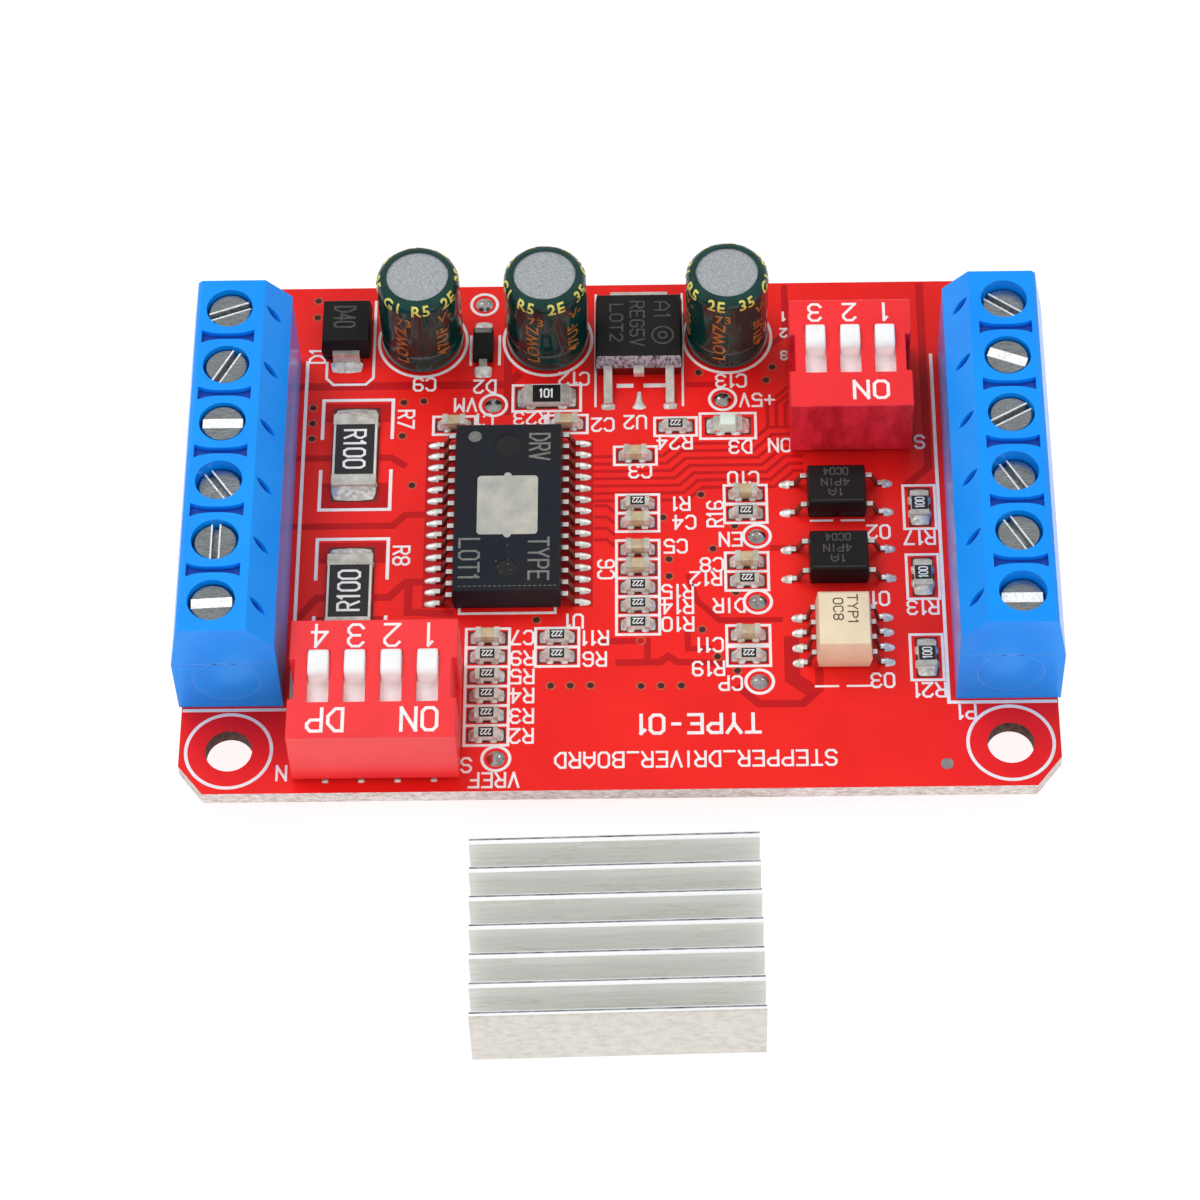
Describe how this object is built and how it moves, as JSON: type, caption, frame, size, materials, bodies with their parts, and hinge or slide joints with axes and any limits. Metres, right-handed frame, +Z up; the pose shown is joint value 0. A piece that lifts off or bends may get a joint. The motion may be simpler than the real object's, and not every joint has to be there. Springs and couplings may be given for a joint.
{
  "type": "stepper driver module",
  "caption": "Stepper motor driver board with rising clamp terminals, slide switches, driver chip and a loose finned heatsink.",
  "frame": {"origin": "centre of the four mounting holes, on the underside of the circuit board", "axes": "+Z is up out of the component side, +X runs along the board to the input terminals, -Y points to the edge the heatsink lies in front of"},
  "size_m": [0.0624, 0.0636, 0.0133],
  "materials": {
    "board": "red solder mask over glass laminate",
    "terminal_blue": "moulded blue plastic, light gloss",
    "tinned_brass": "tin plated",
    "screw_zinc": "zinc plated, turned",
    "cage_zinc": "zinc plated, stamped",
    "switch4_red": "moulded red plastic",
    "switch3_red": "moulded red plastic",
    "switch_base": "moulded dark red plastic",
    "slider_white": "moulded white plastic",
    "tinned_leads": "tin plated",
    "can_aluminium": "drawn aluminium",
    "sleeve_green": "shrunk plastic film, glossy",
    "bung_rubber": "moulded rubber",
    "chip_black": "moulded epoxy, fine matt texture",
    "slug_plate": "plated copper, satin",
    "resistor_ceramic": "fired alumina with a black coat on top",
    "capacitor_ceramic": "fired ceramic",
    "end_cap_tin": "tin plated",
    "opto_black": "moulded epoxy",
    "opto_cream": "moulded epoxy",
    "led_clear": "clear epoxy with a greenish white fill",
    "solder": "wetted solder, bright",
    "heatsink_aluminium": "extruded, bare, sawn ends"
  },
  "bodies": {
    "root": {"circuit_board": "board", "terminal_housing_left": "terminal_blue", "terminal_housing_right": "terminal_blue", "terminal_contacts": "tinned_brass", "switch4_cover": "switch4_red", "switch4_base": "switch_base", "switch3_cover": "switch3_red", "switch3_base": "switch_base", "switch_contacts": "tinned_leads", "capacitor_cans": "can_aluminium", "capacitor_sleeves": "sleeve_green", "capacitor_bungs": "bung_rubber", "capacitor_leads": "tinned_leads", "driver_chip_body": "chip_black", "driver_chip_leads": "tinned_leads", "heat_slug": "slug_plate", "regulator_body": "chip_black", "regulator_leads": "tinned_leads", "resistor_bodies": "resistor_ceramic", "ceramic_capacitor_bodies": "capacitor_ceramic", "chip_end_caps": "end_cap_tin", "diode_bodies": "chip_black", "diode_leads": "tinned_leads", "optocoupler_black_bodies": "opto_black", "optocoupler_cream_body": "opto_cream", "optocoupler_leads": "tinned_leads", "indicator_led": "led_clear", "solder_joints": "solder"},
    "terminal_screw_left_1": {"terminal_screw_left_1": "screw_zinc"},
    "terminal_screw_left_2": {"terminal_screw_left_2": "screw_zinc"},
    "terminal_screw_left_3": {"terminal_screw_left_3": "screw_zinc"},
    "terminal_screw_left_4": {"terminal_screw_left_4": "screw_zinc"},
    "terminal_screw_left_5": {"terminal_screw_left_5": "screw_zinc"},
    "terminal_screw_left_6": {"terminal_screw_left_6": "screw_zinc"},
    "terminal_screw_right_1": {"terminal_screw_right_1": "screw_zinc"},
    "terminal_screw_right_2": {"terminal_screw_right_2": "screw_zinc"},
    "terminal_screw_right_3": {"terminal_screw_right_3": "screw_zinc"},
    "terminal_screw_right_4": {"terminal_screw_right_4": "screw_zinc"},
    "terminal_screw_right_5": {"terminal_screw_right_5": "screw_zinc"},
    "terminal_screw_right_6": {"terminal_screw_right_6": "screw_zinc"},
    "clamp_cage_left_1": {"clamp_cage_left_1": "cage_zinc"},
    "clamp_cage_left_2": {"clamp_cage_left_2": "cage_zinc"},
    "clamp_cage_left_3": {"clamp_cage_left_3": "cage_zinc"},
    "clamp_cage_left_4": {"clamp_cage_left_4": "cage_zinc"},
    "clamp_cage_left_5": {"clamp_cage_left_5": "cage_zinc"},
    "clamp_cage_left_6": {"clamp_cage_left_6": "cage_zinc"},
    "clamp_cage_right_1": {"clamp_cage_right_1": "cage_zinc"},
    "clamp_cage_right_2": {"clamp_cage_right_2": "cage_zinc"},
    "clamp_cage_right_3": {"clamp_cage_right_3": "cage_zinc"},
    "clamp_cage_right_4": {"clamp_cage_right_4": "cage_zinc"},
    "clamp_cage_right_5": {"clamp_cage_right_5": "cage_zinc"},
    "clamp_cage_right_6": {"clamp_cage_right_6": "cage_zinc"},
    "switch4_slider_1": {"switch4_slider_1": "slider_white"},
    "switch4_slider_2": {"switch4_slider_2": "slider_white"},
    "switch4_slider_3": {"switch4_slider_3": "slider_white"},
    "switch4_slider_4": {"switch4_slider_4": "slider_white"},
    "switch3_slider_1": {"switch3_slider_1": "slider_white"},
    "switch3_slider_2": {"switch3_slider_2": "slider_white"},
    "switch3_slider_3": {"switch3_slider_3": "slider_white"},
    "heatsink": {"heatsink": "heatsink_aluminium"}
  },
  "joints": [
    {"name": "turn_screw_left_1", "type": "hinge", "parent": "root", "child": "terminal_screw_left_1", "pos_m": [-0.0281, 0.0129, 0.0081], "axis": [0, 0, 1], "range_deg": [-1280, 0]},
    {"name": "lift_cage_left_1", "type": "slide", "parent": "root", "child": "clamp_cage_left_1", "axis": [0, 0, 1], "range_m": [0, 0.0016]},
    {"name": "turn_screw_left_2", "type": "hinge", "parent": "root", "child": "terminal_screw_left_2", "pos_m": [-0.0281, 0.00782, 0.0081], "axis": [0, 0, 1], "range_deg": [-1280, 0]},
    {"name": "lift_cage_left_2", "type": "slide", "parent": "root", "child": "clamp_cage_left_2", "axis": [0, 0, 1], "range_m": [0, 0.0016]},
    {"name": "turn_screw_left_3", "type": "hinge", "parent": "root", "child": "terminal_screw_left_3", "pos_m": [-0.0281, 0.00274, 0.0081], "axis": [0, 0, 1], "range_deg": [-1280, 0]},
    {"name": "lift_cage_left_3", "type": "slide", "parent": "root", "child": "clamp_cage_left_3", "axis": [0, 0, 1], "range_m": [0, 0.0016]},
    {"name": "turn_screw_left_4", "type": "hinge", "parent": "root", "child": "terminal_screw_left_4", "pos_m": [-0.0281, -0.00234, 0.0081], "axis": [0, 0, 1], "range_deg": [-1280, 0]},
    {"name": "lift_cage_left_4", "type": "slide", "parent": "root", "child": "clamp_cage_left_4", "axis": [0, 0, 1], "range_m": [0, 0.0016]},
    {"name": "turn_screw_left_5", "type": "hinge", "parent": "root", "child": "terminal_screw_left_5", "pos_m": [-0.0281, -0.00742, 0.0081], "axis": [0, 0, 1], "range_deg": [-1280, 0]},
    {"name": "lift_cage_left_5", "type": "slide", "parent": "root", "child": "clamp_cage_left_5", "axis": [0, 0, 1], "range_m": [0, 0.0016]},
    {"name": "turn_screw_left_6", "type": "hinge", "parent": "root", "child": "terminal_screw_left_6", "pos_m": [-0.0281, -0.0125, 0.0081], "axis": [0, 0, 1], "range_deg": [-1280, 0]},
    {"name": "lift_cage_left_6", "type": "slide", "parent": "root", "child": "clamp_cage_left_6", "axis": [0, 0, 1], "range_m": [0, 0.0016]},
    {"name": "turn_screw_right_1", "type": "hinge", "parent": "root", "child": "terminal_screw_right_1", "pos_m": [0.0281, 0.0129, 0.0081], "axis": [0, 0, 1], "range_deg": [-1280, 0]},
    {"name": "lift_cage_right_1", "type": "slide", "parent": "root", "child": "clamp_cage_right_1", "axis": [0, 0, 1], "range_m": [0, 0.0016]},
    {"name": "turn_screw_right_2", "type": "hinge", "parent": "root", "child": "terminal_screw_right_2", "pos_m": [0.0281, 0.00782, 0.0081], "axis": [0, 0, 1], "range_deg": [-1280, 0]},
    {"name": "lift_cage_right_2", "type": "slide", "parent": "root", "child": "clamp_cage_right_2", "axis": [0, 0, 1], "range_m": [0, 0.0016]},
    {"name": "turn_screw_right_3", "type": "hinge", "parent": "root", "child": "terminal_screw_right_3", "pos_m": [0.0281, 0.00274, 0.0081], "axis": [0, 0, 1], "range_deg": [-1280, 0]},
    {"name": "lift_cage_right_3", "type": "slide", "parent": "root", "child": "clamp_cage_right_3", "axis": [0, 0, 1], "range_m": [0, 0.0016]},
    {"name": "turn_screw_right_4", "type": "hinge", "parent": "root", "child": "terminal_screw_right_4", "pos_m": [0.0281, -0.00234, 0.0081], "axis": [0, 0, 1], "range_deg": [-1280, 0]},
    {"name": "lift_cage_right_4", "type": "slide", "parent": "root", "child": "clamp_cage_right_4", "axis": [0, 0, 1], "range_m": [0, 0.0016]},
    {"name": "turn_screw_right_5", "type": "hinge", "parent": "root", "child": "terminal_screw_right_5", "pos_m": [0.0281, -0.00742, 0.0081], "axis": [0, 0, 1], "range_deg": [-1280, 0]},
    {"name": "lift_cage_right_5", "type": "slide", "parent": "root", "child": "clamp_cage_right_5", "axis": [0, 0, 1], "range_m": [0, 0.0016]},
    {"name": "turn_screw_right_6", "type": "hinge", "parent": "root", "child": "terminal_screw_right_6", "pos_m": [0.0281, -0.0125, 0.0081], "axis": [0, 0, 1], "range_deg": [-1280, 0]},
    {"name": "lift_cage_right_6", "type": "slide", "parent": "root", "child": "clamp_cage_right_6", "axis": [0, 0, 1], "range_m": [0, 0.0016]},
    {"name": "set_switch4_1", "type": "slide", "parent": "root", "child": "switch4_slider_1", "axis": [0, -1, 0], "range_m": [0, 0.0018]},
    {"name": "set_switch4_2", "type": "slide", "parent": "root", "child": "switch4_slider_2", "axis": [0, -1, 0], "range_m": [0, 0.0018]},
    {"name": "set_switch4_3", "type": "slide", "parent": "root", "child": "switch4_slider_3", "axis": [0, -1, 0], "range_m": [0, 0.0018]},
    {"name": "set_switch4_4", "type": "slide", "parent": "root", "child": "switch4_slider_4", "axis": [0, -1, 0], "range_m": [0, 0.0018]},
    {"name": "set_switch3_1", "type": "slide", "parent": "root", "child": "switch3_slider_1", "axis": [0, -1, 0], "range_m": [0, 0.0018]},
    {"name": "set_switch3_2", "type": "slide", "parent": "root", "child": "switch3_slider_2", "axis": [0, -1, 0], "range_m": [0, 0.0018]},
    {"name": "set_switch3_3", "type": "slide", "parent": "root", "child": "switch3_slider_3", "axis": [0, -1, 0], "range_m": [0, 0.0018]},
    {"name": "lift_heatsink", "type": "slide", "parent": "root", "child": "heatsink", "axis": [0, 0, 1], "range_m": [0, 0.02]}
  ],
  "couplings": [
    {"joint": "turn_screw_left_1", "follows": "lift_cage_left_1", "rad_per_m": -13963},
    {"joint": "turn_screw_left_2", "follows": "lift_cage_left_2", "rad_per_m": -13963},
    {"joint": "turn_screw_left_3", "follows": "lift_cage_left_3", "rad_per_m": -13963},
    {"joint": "turn_screw_left_4", "follows": "lift_cage_left_4", "rad_per_m": -13963},
    {"joint": "turn_screw_left_5", "follows": "lift_cage_left_5", "rad_per_m": -13963},
    {"joint": "turn_screw_left_6", "follows": "lift_cage_left_6", "rad_per_m": -13963},
    {"joint": "turn_screw_right_1", "follows": "lift_cage_right_1", "rad_per_m": -13963},
    {"joint": "turn_screw_right_2", "follows": "lift_cage_right_2", "rad_per_m": -13963},
    {"joint": "turn_screw_right_3", "follows": "lift_cage_right_3", "rad_per_m": -13963},
    {"joint": "turn_screw_right_4", "follows": "lift_cage_right_4", "rad_per_m": -13963},
    {"joint": "turn_screw_right_5", "follows": "lift_cage_right_5", "rad_per_m": -13963},
    {"joint": "turn_screw_right_6", "follows": "lift_cage_right_6", "rad_per_m": -13963}
  ]
}
